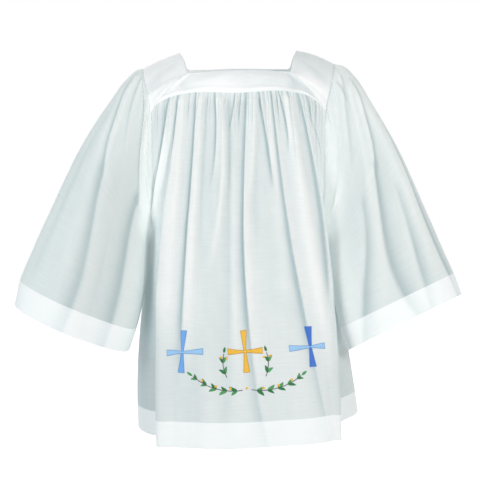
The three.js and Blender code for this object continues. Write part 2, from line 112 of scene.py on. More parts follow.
def alongRows(rows, key, at):
    # a cubic between neighbouring rows, whose slopes are those of the rows on both sides
    a, p = np.array(rows["at"], float), np.array(rows[key], float)
    gap = np.diff(a)
    slope = np.diff(p) / gap
    inside = (slope[:-1] * gap[1:] + slope[1:] * gap[:-1]) / (gap[1:] + gap[:-1])
    bend = np.concatenate([[slope[0]], inside, [slope[-1]]])
    at = np.asarray(at, float)
    i = np.clip(np.searchsorted(a, at, side="left") - 1, 0, len(gap) - 1)
    t = (at - a[i]) / gap[i]
    rise = t * t * (3 - 2 * t)
    return (p[i] * (1 - rise) + p[i + 1] * rise
            + bend[i] * gap[i] * t * (1 - t) ** 2 + bend[i + 1] * gap[i] * t * t * (t - 1))


def pointOf(rows, at):
    return np.stack([alongRows(rows, k, at) for k in "xyz"], -1)


def ease(t):  # 0 to 1 with level ends
    t = np.clip(t, 0, 1)
    return t * t * (3 - 2 * t)


def mix(a, b, t):
    return a + (b - a) * t


def armhole(side, at):
    lift = stance["shoulderLift"][side] * np.exp(-(np.minimum(at, 1 - at) / 0.09) ** 2)
    return np.stack([side * alongRows(armholeRows, "out", at), alongRows(armholeRows, "y", at),
                     alongRows(armholeRows, "z", at) + lift], -1)


def sideEdge(side, hemEnd, front, v):
    # down the armhole from the gathering seam, then straight down the side seam
    turn = stance["seamTurn"] if front else 1 - stance["seamTurn"]
    under = stance["underarm"]
    upper = armhole(side, mix(turn, 0.5, np.clip(v / under, 0, 1)))
    t = np.clip((v - under) / (1 - under), 0, 1)[..., None]
    return np.where((v < under)[..., None], upper, mix(armhole(side, 0.5), hemEnd, t))


def plainPanel(front, u, v):
    # straight columns from seam to hem, drawn towards the side edges near them
    seam, hem = (frontSeamRows, frontHemRows) if front else (backSeamRows, backHemRows)
    p = mix(pointOf(seam, u), pointOf(hem, u), v[..., None])
    for side, end in ((-1, 0.0), (1, 1.0)):
        drawn = np.clip(1 - np.abs(u - end) / stance["sideReach"], 0, 1) ** 2
        a, b = pointOf(seam, end), pointOf(hem, end)
        p = p + (sideEdge(side, b, front, v) - mix(a, b, v[..., None])) * drawn[..., None]
    return p


# a crease crisper than softFrom is a plain bump; below it, it is a pleat laid to one side with a line
# of painted shade
pleats = dict(softFrom=1.5, steep=0.4, easy=2.2, height=0.75, lineAt=0.5, lineCrisp=0.3, lineSoft=0.9,
              lineDepth=0.88, lineFull=5)


def quadratic(a, b, c, t):  # the curve through a at 0, b at a half and c at 1
    return a * (1 - t) * (1 - 2 * t) + 4 * b * t * (1 - t) + c * t * (2 * t - 1)


def foldsOf(rows, u, v, wrap=False):
    # heights and lines of painted shade of creases: each row runs from level v0 to v1 along a quadratic in u,
    # with soft ends unless it starts at the top or leaves at the hem, and broadens on its way down. A
    # plain bump is height * exp(-(|distance| / width) ** crispness). A pleat has a steep flank, a crest
    # and a long easy flank, with its line of painted shade at the foot of the steep one, sharp on one side
    # and soft on the other
    total, line = np.zeros_like(u), np.zeros_like(u)
    for v0, v1, a, b, c, h0, h1, h2, width, crisp in rows:
        t = (v - v0) / (v1 - v0)
        s = np.clip(t, 0, 1)
        away = u - quadratic(a, b, c, s)
        if wrap:
            away = away - np.round(away)
        startSoft = ease(t / 0.12 + 0.5) if v0 > 0.001 else 1.0
        endSoft = ease((1 - t) / 0.16 + 0.4) if v1 < 0.999 else 1.0
        height = np.interp(s, [0, 0.5, 1], [h0, h1, h2]) * startSoft * endSoft
        x = away / (width * (1 + stance["broaden"] * np.clip(v, 0, 1)))
        if crisp >= pleats["softFrom"]:
            total += height * np.exp(-np.abs(x) ** crisp)
            continue
        steep, easy = np.exp(-(x / pleats["steep"]) ** 2), np.exp(-(np.abs(x) / pleats["easy"]) ** 1.5)
        total += np.abs(height) * pleats["height"] * np.where(x < 0, steep, easy)
        past = x + pleats["lineAt"]
        wide = np.where(past > 0, pleats["lineCrisp"], pleats["lineSoft"])
        line += np.clip(np.abs(height) / pleats["lineFull"], 0, 1) * np.exp(-np.abs(past / wide) ** 1.5)
    return total, line


def ripple(u, v, seed, count, acrossScale, downScale):
    # soft unevenness: a sum of slanting cosines with random directions and phases, about 1 high
    rng = np.random.default_rng(seed)
    total = np.zeros_like(u)
    fullTurn = 6.28
    for _ in range(count):
        a, b, phase, size = rng.normal(), rng.normal(), rng.uniform(0, fullTurn), rng.uniform(0.5, 1)
        total += size * np.cos(fullTurn * (a * u * acrossScale + b * v * downScale) + phase)
    return total / math.sqrt(count)


# creases of the body: v0, v1, u at start, middle, end, heights in mm, width, crispness
frontCreases = [
    (0.0, 0.36, 0.114, 0.083, 0.058, -5, -10, -6, 0.014, 1.4),
    (0.0, 0.66, 0.167, 0.172, 0.172, -6, -10, -4, 0.011, 1.3),
    (0.0, 0.09, 0.234, 0.232, 0.237, -4, -3, 0, 0.006, 1.4),
    (0.0, 0.80, 0.268, 0.282, 0.270, -5, -9, -2, 0.010, 1.3),
    (0.0, 0.50, 0.324, 0.330, 0.345, -4, -3, -1, 0.009, 1.5),
    (0.0, 0.28, 0.371, 0.390, 0.373, -5, -5, 0, 0.008, 1.4),
    (0.0, 1.00, 0.443, 0.457, 0.424, -4, -6, -3, 0.012, 1.5),
    (0.0, 0.10, 0.487, 0.474, 0.459, -6, -6, -3, 0.005, 1.2),
    (0.0, 0.09, 0.520, 0.513, 0.506, -5, -4, 0, 0.005, 1.3),
    (0.0, 1.00, 0.553, 0.536, 0.585, -5, -12, -4, 0.011, 1.25),
    (0.0, 0.28, 0.620, 0.643, 0.658, -8, -7, -1, 0.008, 1.25),
    (0.12, 0.5, 0.602, 0.586, 0.598, 0, -3, 0, 0.012, 1.6),
    (0.0, 1.00, 0.690, 0.706, 0.750, -3, -7, -3, 0.010, 1.35),
    (0.0, 0.19, 0.729, 0.748, 0.738, -8, -6, 0, 0.007, 1.25),
    (0.0, 0.60, 0.845, 0.859, 0.830, -6, -9, -2, 0.011, 1.3),
    (0.0, 0.07, 0.889, 0.898, 0.905, -5, -4, 0, 0.006, 1.3),
    (0.06, 0.14, 0.893, 0.939, 0.975, -2, -4, -1, 0.008, 1.3),
    (0.0, 0.72, 0.198, 0.207, 0.212, 5, 6, 4, 0.020, 2.0),
    (0.0, 0.80, 0.297, 0.304, 0.300, 4, 5, 3, 0.013, 2.0),
    (0.0, 0.50, 0.397, 0.428, 0.380, 6, 8, 3, 0.013, 2.0),
    (0.0, 0.30, 0.588, 0.580, 0.567, 6, 6, 1, 0.011, 2.0),
    (0.0, 0.60, 0.677, 0.668, 0.660, 4, 3, 3, 0.014, 2.0),
    (0.0, 0.80, 0.771, 0.778, 0.792, 7, 9, 5, 0.020, 2.0),
    (0.22, 1.0, 0.476, 0.479, 0.490, 3, 7, 4, 0.017, 2.0),
    (0.64, 1.0, 0.310, 0.316, 0.320, 0, -4, -4, 0.016, 1.8),
    (0.60, 1.0, 0.640, 0.660, 0.655, 0, 4, 4, 0.020, 2.0),
    (0.70, 1.0, 0.380, 0.385, 0.390, 0, 3, 4, 0.020, 2.0),
    (0.36, 1.0, 0.070, 0.072, 0.070, -6, -9, -8, 0.026, 1.8),
    (0.40, 1.0, 0.945, 0.945, 0.947, -3, -6, -8, 0.018, 1.8),
]
backCreases = [
    (0.0, 1.0, 0.070, 0.080, 0.085, -5, -11, -13, 0.028, 1.6),
    (0.0, 1.0, 0.150, 0.150, 0.150, 4, 10, 13, 0.032, 2.0),
    (0.0, 1.0, 0.225, 0.220, 0.215, -6, -12, -14, 0.024, 1.6),
    (0.0, 1.0, 0.300, 0.295, 0.290, 5, 10, 13, 0.032, 2.0),
    (0.0, 1.0, 0.370, 0.368, 0.365, -7, -10, -12, 0.024, 1.6),
    (0.0, 1.0, 0.440, 0.445, 0.445, 5, 11, 14, 0.032, 2.0),
    (0.0, 1.0, 0.520, 0.523, 0.525, -7, -12, -13, 0.024, 1.6),
    (0.0, 1.0, 0.600, 0.603, 0.610, 5, 9, 12, 0.032, 2.0),
    (0.0, 1.0, 0.690, 0.692, 0.695, -6, -11, -14, 0.024, 1.6),
    (0.0, 1.0, 0.770, 0.775, 0.780, 4, 10, 12, 0.032, 2.0),
    (0.0, 1.0, 0.870, 0.875, 0.875, -5, -10, -12, 0.026, 1.5),
    (0.0, 0.35, 0.260, 0.262, 0.255, -4, -4, 0, 0.009, 1.3),
    (0.0, 0.45, 0.335, 0.330, 0.328, -4, -5, 0, 0.009, 1.3),
    (0.0, 0.30, 0.405, 0.402, 0.410, -5, -3, 0, 0.008, 1.3),
    (0.0, 0.50, 0.480, 0.486, 0.484, -4, -5, 0, 0.009, 1.3),
    (0.0, 0.30, 0.560, 0.566, 0.562, -5, -4, 0, 0.008, 1.3),
    (0.0, 0.42, 0.645, 0.640, 0.652, -4, -5, 0, 0.009, 1.3),
    (0.0, 0.32, 0.735, 0.741, 0.735, -4, -3, 0, 0.008, 1.3),
    (0.0, 0.30, 0.820, 0.826, 0.832, -4, -4, 0, 0.009, 1.3),
]


def gatherRows(seed, count, first, last, longest, height, wide=1.0):
    # small puckers that spring from a gathering seam, unevenly spaced, and die out below it
    rng = np.random.default_rng(seed)
    at = np.linspace(first, last, count) + rng.uniform(-0.35, 0.35, count) * (last - first) / count
    rows = []
    for a in at:
        drop = longest * rng.uniform(0.25, 1) ** 1.5
        drift = rng.normal(0, 0.004)
        tall = -height * rng.uniform(0.5, 1.1)
        rows.append((0.0, drop, a, a + drift, a + 2 * drift, tall, tall * 0.6, 0,
                     wide * rng.uniform(0.0028, 0.005), 1.4))
    return rows


frontGathers = gatherRows(4, 46, 0.03, 0.985, 0.15, 3.4) + gatherRows(5, 9, 0.64, 0.95, 0.30, 5.0, 1.7)
backGathers = gatherRows(9, 46, 0.02, 0.98, 0.15, 3.4) + gatherRows(10, 18, 0.04, 0.96, 0.28, 5.0, 1.5)


def panelFolds(front, u, v):
    # creases, gathers and unevenness; ridges start only below the seam, and all calm down towards the hem
    rows = frontCreases + frontGathers if front else backCreases + backGathers
    relief, line = foldsOf(rows, u, v)
    relief = relief + 0.8 * ripple(u, v, 3 if front else 6, 14, 7, 3)
    started = ease(v / 0.02)
    calm = mix(1, stance["hemCalm"], ease((v - 0.55) / 0.32))
    atSeam = np.where(relief > 0, started, mix(0.3, 1, started))
    return relief * atSeam * stance["foldDepth"] * calm, line * calm


def toneOf(folds, v, seamReach):
    # painted shading of the thin cloth: painted highlights on ridges and next to a seam, painted shade in the
    # lines
    relief, line = folds
    ridges = paintedTone["ridges"] * relief / paintedTone["foldTone"]
    seam = paintedTone["seam"] * np.exp(-(np.maximum(v, 0) / seamReach) ** 2)
    return np.clip(paintedTone["plain"] + ridges - pleats["lineDepth"] * line + seam, 0, 1)


def litPanel(u, v):
    # painted light: extra glow at the sides of the body beside the sleeves, where it hangs clear
    left, right = ease((0.155 - u) / 0.03), ease((u - 0.86) / 0.04)
    return (paintedGlow["left"] * left + paintedGlow["right"] * right) * ease(v / 0.25) * ease((0.8 - v) / 0.3)


def panelTone(front, u, v):
    # painted fold shading; low down, painted shade behind the corners where the front steps back to the sides
    left = 0.22 * ease((0.155 - u) / 0.02)
    right = 0.75 * np.exp(-((u - 0.885) / 0.028) ** 2)
    low = ease((v - 0.4) / 0.3) * (1 if front else 0)
    return np.clip(toneOf(panelFolds(front, u, v), v, 0.025) - (left + right) * low, 0, 1)


def nearArmhole(side, u, v):
    # the strip of sleeve along the front of the armhole, which gets a painted highlight and painted glow
    at, wide = (0.30, 0.06) if side < 0 else (0.25, 0.12)
    fromTop = np.minimum(np.mod(u, 1), 1 - np.mod(u, 1))
    edge = 0.09 + (at - 0.05) * np.clip(v / 0.25, 0, 1) ** 0.6
    return ease((fromTop - edge) / wide) * ease((0.42 - v) / 0.2)


def litSleeve(side, u, v):
    # painted light: extra glow at a sleeve's inner and outer sides, and along its strip beside the armhole
    facing = np.cos(2 * np.pi * u)
    inner, outer = np.clip(-facing, 0, 1), np.clip(facing, 0, 1)
    edges = paintedGlow["inner"][side] * inner ** 1.5 + paintedGlow["outer"][side] * outer
    return edges + paintedGlow["strip"][side] * nearArmhole(side, u, v)


def sleeveTone(side, u, v):
    # painted fold shading, painted highlight high up and along the strip, painted shade at the armhole seam
    seam = paintedTone["seamLine"][side] * np.exp(-(v / 0.006) ** 2)
    upper = paintedTone["upper"][side] * ease((0.45 - v) / 0.4)
    tone = toneOf(sleeveFolds(side, u, v), v, 0.05) + paintedTone["strip"] * nearArmhole(side, u, v) + upper
    return np.clip(tone - seam, 0, 1)


def panelSurface(front, u, v):
    # the plain panel, bowed out, then moved out or in by its creases and gathers, and swayed towards +X
    p = plainPanel(front, u, v)
    step = 0.004
    across = plainPanel(front, np.minimum(1, u + step), v) - plainPanel(front, np.maximum(0, u - step), v)
    out = np.stack([across[..., 1], -across[..., 0], 0 * u], -1) * (1 if front else -1)
    out = out / np.linalg.norm(out, axis=-1, keepdims=True)
    sides = np.abs(2 * u - 1) ** 4
    sideways = np.stack([np.where(u < 0.5, -1.0, 1.0), 0 * u, 0 * u], -1)
    out = mix(out, sideways, (sides ** 3)[..., None])
    crown = mix(stance["crownMiddle"], np.where(u < 0.5, stance["crownLeft"], stance["crownRight"]), sides)
    under = stance["underarm"] * sides
    below = np.clip((v - under) / (1 - under), 0, 1)
    relief, started = panelFolds(front, u, v)[0], ease(v / 0.02)
    swell = stance["seamSwell"] * np.exp(-((v - 0.022) / 0.016) ** 2) * started
    held = ease(u / 0.05) * ease((1 - u) / 0.05)
    p = p + out * (crown * np.sin(np.pi * below ** 1.5) + (relief + swell) * held)[..., None]
    if front:
        corner = np.exp(-((u - stance["cornerAt"]) / stance["cornerWide"]) ** 2)
        p[..., 0] += stance["cornerBow"] * corner * np.sin(np.pi * v) * ease((1 - u) / 0.1)
    low = np.clip((-p[..., 2] - stance["swayFrom"]) / (stance["length"] - stance["swayFrom"]), 0, 1)
    p[..., 0] += stance["sway"] * low ** 1.5
    return p


def tuckedPanel(front, u, v):
    # the panel, and above the gathering seam its allowance, carried on up under the yoke
    p = panelSurface(front, u, np.maximum(v, 0))
    above = np.clip(-v / stance["tuck"], 0, 1)[..., None]
    rise = yokeSurface(front, 0.2 + 0.6 * u, 0 * v + 0.85) - yokeSurface(front, 0.2 + 0.6 * u, 0 * v + 1)
    rise[..., 1] += 2.0 if front else -2.0
    return p + rise * above


yokeCreases = [
    (0.0, 1.0, 0.205, 0.186, 0.192, -0.6, -2.2, -2.0, 0.010, 1.3),
    (0.0, 1.0, 0.200, 0.170, 0.160, -0.4, -1.8, -1.5, 0.010, 1.4),
    (0.0, 1.0, 0.212, 0.206, 0.222, -0.4, -1.6, -1.2, 0.010, 1.4),
    (0.0, 1.0, 0.222, 0.262, 0.330, -0.5, -1.6, -0.6, 0.016, 1.6),
    (0.2, 1.0, 0.100, 0.110, 0.125, -0.5, -1.2, -1.0, 0.016, 1.6),
    (0.0, 1.0, 0.450, 0.430, 0.400, 0.3, 1.0, 0.5, 0.040, 2.0),
    (0.0, 1.0, 0.795, 0.814, 0.808, -0.6, -2.2, -2.0, 0.010, 1.3),
    (0.0, 1.0, 0.800, 0.830, 0.840, -0.4, -1.8, -1.5, 0.010, 1.4),
    (0.0, 1.0, 0.788, 0.794, 0.778, -0.4, -1.6, -1.2, 0.010, 1.4),
    (0.0, 1.0, 0.778, 0.738, 0.670, -0.5, -1.6, -0.6, 0.016, 1.6),
    (0.2, 1.0, 0.900, 0.890, 0.875, -0.5, -1.2, -1.0, 0.016, 1.6),
]


def yokeFolds(front, u, v):
    relief, line = foldsOf(yokeCreases, u, v)
    return relief * stance["yokeDepth"] + 0.35 * ripple(u, v, 12 if front else 15, 12, 9, 2), line


def yokeRoll(u, v):
    # the raised lower edge, from one end of the gathering seam to the other
    onSeam = ease((u - 0.19) / 0.02) * ease((0.81 - u) / 0.02)
    return np.exp(-((v - stance["rollAt"]) / 0.09) ** 2) * onSeam


def yokeTone(front, u, v):
    # painted highlight on the raised edge, a little painted shade over the shoulders and towards +X
    relief, line = yokeFolds(front, u, v)
    shoulders = ease((0.2 - np.minimum(u, 1 - u)) / 0.08)
    onRight = shoulders * (u > 0.5)
    lean = (0.9 - 0.56 * onRight) * (0.5 - u)
    shade = 0.22 * shoulders - 0.08 * onRight
    tone = 0.62 + lean + 0.14 * relief + 0.34 * yokeRoll(u, v) - 0.6 * line - shade
    return np.clip(tone, 0, 1)


def yokeSurface(front, u, v):
    # straight from the neck edge to the armholes and the seam, bowed out, with a raised lower edge where
    # the seam allowance is pressed up inside, and a flat stitched line beside the neck edge
    neck, seam = (frontNeckRows, frontSeamRows) if front else (backNeckRows, backSeamRows)
    turn, start = (stance["seamTurn"], 0.0) if front else (1 - stance["seamTurn"], 1.0)
    left = armhole(-1, mix(start, turn, np.clip(u / 0.2, 0, 1)))
    right = armhole(1, mix(start, turn, np.clip((1 - u) / 0.2, 0, 1)))
    middle = pointOf(seam, np.clip((u - 0.2) / 0.6, 0, 1))
    outer = np.where((u < 0.2)[..., None], left, np.where((u > 0.8)[..., None], right, middle))
    p = mix(pointOf(neck, u), outer, v[..., None])
    crown = stance["yokeCrown"] * np.sin(np.pi * v) * mix(1, 0.35, ease((0.2 - u) / 0.12))
    relief = yokeFolds(front, u, v)[0]
    inside = ease(np.minimum(v, 1 - v) / 0.12) * ease(np.minimum(u, 1 - u) / 0.03)
    edge = stance["rollHeight"] * yokeRoll(u, v) - 0.5 * np.exp(-((v - 0.075) / 0.012) ** 2)
    p[..., 2] += crown + relief * inside * 0.5 + edge * 0.4
    facing = (-1 if front else 1) * ease(np.minimum(u, 1 - u) / 0.2)
    p[..., 1] += facing * (crown * 0.7 + relief * inside + edge)
    return p


sleeveCreases = {
    -1: [
        (0.18, 0.88, 0.072, 0.087, 0.083, -2, -5, -3, 0.013, 1.5),
        (0.04, 0.36, 0.035, 0.130, 0.203, -5, -6, -5, 0.010, 1.3),
        (0.34, 1.00, 0.200, 0.248, 0.247, -6, -8, -6, 0.016, 1.4),
        (0.10, 0.46, 0.050, 0.130, 0.182, 3, 4, 5, 0.020, 2.0),
        (0.44, 1.00, 0.184, 0.213, 0.214, 5, 8, 6, 0.022, 2.0),
        (0.04, 0.35, 0.055, 0.147, 0.212, 4, 5, 1, 0.010, 2.0),
        (0.01, 0.20, 0.075, 0.140, 0.225, -5, -3, -1, 0.009, 1.4),
        (0.01, 0.25, 0.090, 0.287, 0.345, -5, -9, -7, 0.011, 1.4),
        (0.22, 1.00, 0.343, 0.358, 0.362, -6, -7, -6, 0.014, 1.4),
        (0.01, 0.11, 0.120, 0.270, 0.385, 3, 5, 5, 0.020, 2.0),
        (0.08, 0.95, 0.385, 0.400, 0.395, 5, 7, 5, 0.022, 2.0),
        (0.45, 1.00, 0.280, 0.288, 0.290, -1, -3, -2, 0.008, 1.5),
        (0.05, 1.00, 0.560, 0.600, 0.600, -2, -8, -9, 0.022, 1.5),
        (0.05, 1.00, 0.640, 0.660, 0.670, 2, 8, 9, 0.026, 2.0),
        (0.03, 1.00, 0.740, 0.735, 0.730, -3, -8, -9, 0.020, 1.4),
        (0.05, 1.00, 0.820, 0.800, 0.795, 3, 7, 8, 0.024, 2.0),
        (0.02, 1.00, 0.900, 0.870, 0.862, -4, -7, -8, 0.018, 1.4),
        (0.02, 0.60, 0.950, 0.935, 0.920, -4, -4, -1, 0.012, 1.4),
    ],
    1: [
        (0.08, 1.00, 0.028, 0.090, 0.085, -4, -7, -4, 0.013, 1.4),
        (0.08, 0.36, 0.060, 0.135, 0.203, -4, -7, -9, 0.010, 1.25),
        (0.34, 1.00, 0.200, 0.253, 0.236, -9, -10, -4, 0.013, 1.25),
        (0.03, 0.24, 0.070, 0.200, 0.270, -3, -3, 0, 0.018, 1.4),
        (0.38, 1.00, 0.278, 0.322, 0.396, -3, -6, -7, 0.014, 1.4),
        (0.48, 1.00, 0.157, 0.178, 0.195, -2, -6, -3, 0.012, 1.4),
        (0.01, 0.20, 0.090, 0.235, 0.385, 4, 7, 6, 0.022, 2.0),
        (0.19, 0.95, 0.385, 0.395, 0.415, 6, 6, 4, 0.022, 2.0),
        (0.08, 0.42, 0.090, 0.195, 0.248, 4, 5, 5, 0.012, 2.0),
        (0.40, 1.00, 0.248, 0.280, 0.310, 6, 6, 4, 0.017, 2.0),
        (0.12, 1.00, 0.080, 0.125, 0.160, 4, 7, 4, 0.020, 2.0),
        (0.02, 0.12, 0.100, 0.120, 0.150, -4, -3, 0, 0.008, 1.4),
        (0.05, 1.00, 0.550, 0.590, 0.590, -2, -8, -9, 0.022, 1.5),
        (0.05, 1.00, 0.630, 0.650, 0.655, 2, 8, 9, 0.026, 2.0),
        (0.03, 1.00, 0.730, 0.722, 0.720, -3, -9, -9, 0.020, 1.4),
        (0.05, 1.00, 0.810, 0.790, 0.786, 3, 7, 8, 0.024, 2.0),
        (0.02, 1.00, 0.890, 0.862, 0.852, -4, -8, -9, 0.018, 1.4),
        (0.02, 0.60, 0.955, 0.940, 0.925, -4, -4, -1, 0.012, 1.4),
    ],
}


def headPuckers(side):
    # tight puckers round the top of the armhole
    rng = np.random.default_rng(21 + side)
    rows, count = [], 31
    for a in np.linspace(-0.13, 0.33, count) + rng.uniform(-0.005, 0.005, count):
        tall = -rng.uniform(1.2, 3.2)
        drop = rng.uniform(0.03, 0.10)
        drift = 0.6 * drop * np.clip(a / 0.04, -1, 1) + rng.normal(0, 0.004)
        rows.append((0.0, drop, a, a + drift, a + 2 * drift, tall, tall * 0.7, 0, 0.0042, 1.4))
    # a few longer ones that start at the front of the seam and turn downwards: u, length, drift and height
    for a, drop, drift, tall in ((0.16, 0.05, 0.05, -4.5), (0.19, 0.07, 0.07, -4),
                                 (0.225, 0.05, 0.045, -5), (0.26, 0.06, 0.03, -4)):
        rows.append((0.0, drop, a, a + drift * 0.7, a + drift, tall, tall * 0.6, 0, 0.005, 1.4))
    return rows


def sleeveOval(side, u, v):
    hang = cuffHang[side]
    turn = 2 * np.pi * u
    toOuter = (1 + np.cos(turn)) / 2
    ring = {key: alongRows(sleeveRows, key, v) for key in sleeveRows if key != "at"}
    return np.stack([
        side * mix(ring["inX"], ring["outLeft" if side < 0 else "outRight"], toOuter),
        ring["y"] - ring["deep"] * np.sin(turn) - hang["toe"] * v * (0.6 + np.cos(turn)),
        mix(ring["inZ"], ring["outZ"], toOuter) + hang["lift"] * v ** 4 * toOuter
        - hang["droop"] * v * v * np.sin(turn)], -1)


def sleeveFolds(side, u, v):
    turn = 2 * np.pi * u
    relief, line = foldsOf(sleeveCreases[side], u, v, wrap=True)
    puckers, puckerShade = foldsOf(headPuckers(side), u, v, wrap=True)
    uneven = 0.6 * ripple(np.cos(turn), v + 0.3 * np.sin(turn), 30 + side, 12, 1.2, 3)
    # the puckers' lines add to the painted shade
    return (relief + uneven) * stance["sleeveDepth"] + puckers, line * stance["sleeveDepth"] + puckerShade


def sleeveSurface(side, u, v):
    # flat ovals down to the cuff, the first of them drawn to the armhole's own shape, with a full
    # gathered head
    p = sleeveOval(side, u, v)
    p = p + (armhole(side, np.mod(u, 1)) - sleeveOval(side, u, 0 * v)) * (1 - ease(v / 0.3))[..., None]
    out = sleeveOval(side, 0 * u, v) - sleeveOval(side, 0 * u + 0.5, v)
    out[..., 1] = 0
    turn = 2 * np.pi * u
    out = out / np.linalg.norm(out, axis=-1, keepdims=True) * np.cos(turn)[..., None]
    out[..., 1] = -np.sin(turn)
    fromTop = u - np.round(u)
    puff = 1.5 * np.exp(-(fromTop / 0.12) ** 2) * np.exp(-((v - 0.045) / 0.03) ** 2)
    relief = sleeveFolds(side, u, v)[0] + puff
    # the front and back stay flat almost to the inner edge, which hangs close beside the body
    inner = np.clip(-np.cos(turn), 0, 1)
    across = np.sin(turn)
    squarer = np.sign(across) * (np.abs(across) ** stance["sleeveSquare"] - np.abs(across)) * (inner > 0)
    p[..., 1] -= alongRows(sleeveRows, "deep", v) * squarer * ease(v / 0.14)
    p[..., 0] += side * (0.6 - stance["innerReach"] * inner ** 2 * ease(v / 0.05) * ease((0.85 - v) / 0.3))
    return p + out * (relief * ease(v / 0.012 + 0.15))[..., None]


def tuckedSleeve(side, u, v):
    # the sleeve, and above the armhole seam its allowance: a step down, then inwards under the yoke and body
    p = sleeveSurface(side, u, np.maximum(v, 0))
    above = np.clip(-v / stance["tuck"], 0, 1)
    turn = 2 * np.pi * u
    down, inwards = 1.0 * ease(above * 4), 8 * np.clip((above - 0.2) / 0.8, 0, 1)
    p[..., 0] -= side * inwards
    p[..., 1] += np.sin(turn) * down
    p[..., 2] += 0.38 * inwards * np.maximum(np.cos(turn), 0) - np.cos(turn) * down
    return p


def surfaceNormals(surface, u, v, outward=1.0):
    # cross product of the two directions along the cloth, by small steps
    step = 0.0008
    across = surface(u + step, v) - surface(u - step, v)
    down = surface(u, np.clip(v + step, 0, 1)) - surface(u, np.clip(v - step, 0, 1))
    n = np.cross(down, across) * outward
    return n / np.linalg.norm(n, axis=-1, keepdims=True)


# meshes
def meshOf(name, co, loops, starts, uvs):
    # a smooth mesh from points in metres, face corners, where each face starts in them, and a UV for each
    # corner
    mesh = bpy.data.meshes.new(name)
    mesh.vertices.add(len(co))
    mesh.vertices.foreach_set("co", co.astype(np.float32).ravel())
    mesh.loops.add(len(loops))
    mesh.loops.foreach_set("vertex_index", loops.astype(np.int32))
    mesh.polygons.add(len(starts))
    mesh.polygons.foreach_set("loop_start", starts.astype(np.int32))
    mesh.update(calc_edges=True)
    mesh.validate()
    mesh.uv_layers.new(name="cloth").data.foreach_set("uv", uvs.astype(np.float32).ravel())
    mesh.polygons.foreach_set("use_smooth", np.ones(len(mesh.polygons), bool))
    return mesh


def gridMesh(name, points, uv, closedAcross=False, flip=False, closedDown=False, capEnds=False):
    # a sheet of quads through an array of points in millimetres; uv is in metres of cloth
    nu, nv = points.shape[:2]
    across, down = np.arange(nu if closedAcross else nu - 1), np.arange(nv if closedDown else nv - 1)
    i, j = np.meshgrid(across, down, indexing="ij")
    i, j = i.ravel(), j.ravel()
    i2, j2 = (i + 1) % nu, (j + 1) % nv
    quads = np.stack([i * nv + j, i * nv + j2, i2 * nv + j2, i2 * nv + j], -1)
    uvI, uvJ = np.stack([i, i, i + 1, i + 1], -1), np.stack([j, j + 1, j + 1, j], -1)
    if flip:
        quads, uvI, uvJ = quads[:, ::-1], uvI[:, ::-1], uvJ[:, ::-1]
    cornerUv = uv[np.minimum(uvI, uv.shape[0] - 1), np.minimum(uvJ, uv.shape[1] - 1)]
    loops, starts = quads.ravel(), np.arange(len(quads)) * 4
    flatUv = cornerUv.reshape(-1, 2)
    if capEnds:
        first, last = np.arange(nv), (nu - 1) * nv + np.arange(nv)
        first, last = (first, last[::-1]) if flip else (first[::-1], last)
        loops = np.concatenate([loops, first, last])
        starts = np.concatenate([starts, [len(quads) * 4, len(quads) * 4 + nv]])
        allUv = uv.reshape(-1, 2)
        flatUv = np.concatenate([flatUv, allUv[first], allUv[np.minimum(last, len(allUv) - 1)]])
    return meshOf(name, points.reshape(-1, 3) * 0.001, loops, starts, flatUv)


def addPiece(name, mesh, material, nodes, thick=0.0):
    piece = bpy.data.objects.new(name, mesh)
    bpy.context.scene.collection.objects.link(piece)
    mesh.materials.append(material)
    if thick:
        wall = piece.modifiers.new("wall", "SOLIDIFY")
        wall.thickness = thick * 0.001
        wall.offset = -1
        graph = bpy.context.evaluated_depsgraph_get()
        solid = bpy.data.meshes.new_from_object(piece.evaluated_get(graph))
        piece.modifiers.clear()
        piece.data = solid
        solid.set_sharp_from_angle(angle=math.radians(50))
    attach(piece, "root")
    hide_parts(*nodes)
    return piece


def spread(first, last, count, towards=0.0):
    # even steps, or steps that crowd towards the first end
    t = np.linspace(0, 1, count)
    return first + (last - first) * mix(t, t * t, towards)


def setPoints(mesh, name, values):
    layer = mesh.attributes.new(name, "FLOAT", "POINT")
    layer.data.foreach_set("value", values.astype(np.float32).ravel())


def clothSheet(name, surface, us, vs, uvSize, tone, lit=None, closed=False, flip=False):
    u, v = np.meshgrid(us, vs, indexing="ij")
    points = surface(u, v)
    uvU = np.append(us, us[0] + 1) if closed else us
    uu, vv = np.meshgrid(uvU, vs, indexing="ij")
    uv = np.stack([uu * uvSize[0], vv * uvSize[1]], -1)
    mesh = gridMesh(name, points, uv, closedAcross=closed, flip=flip)
    # painted highlights and painted shade, one value per point
    setPoints(mesh, "paintedShading", tone(u, np.maximum(v, 0)))
    if lit:
        setPoints(mesh, "lit", lit(u, np.maximum(v, 0)))
    return mesh


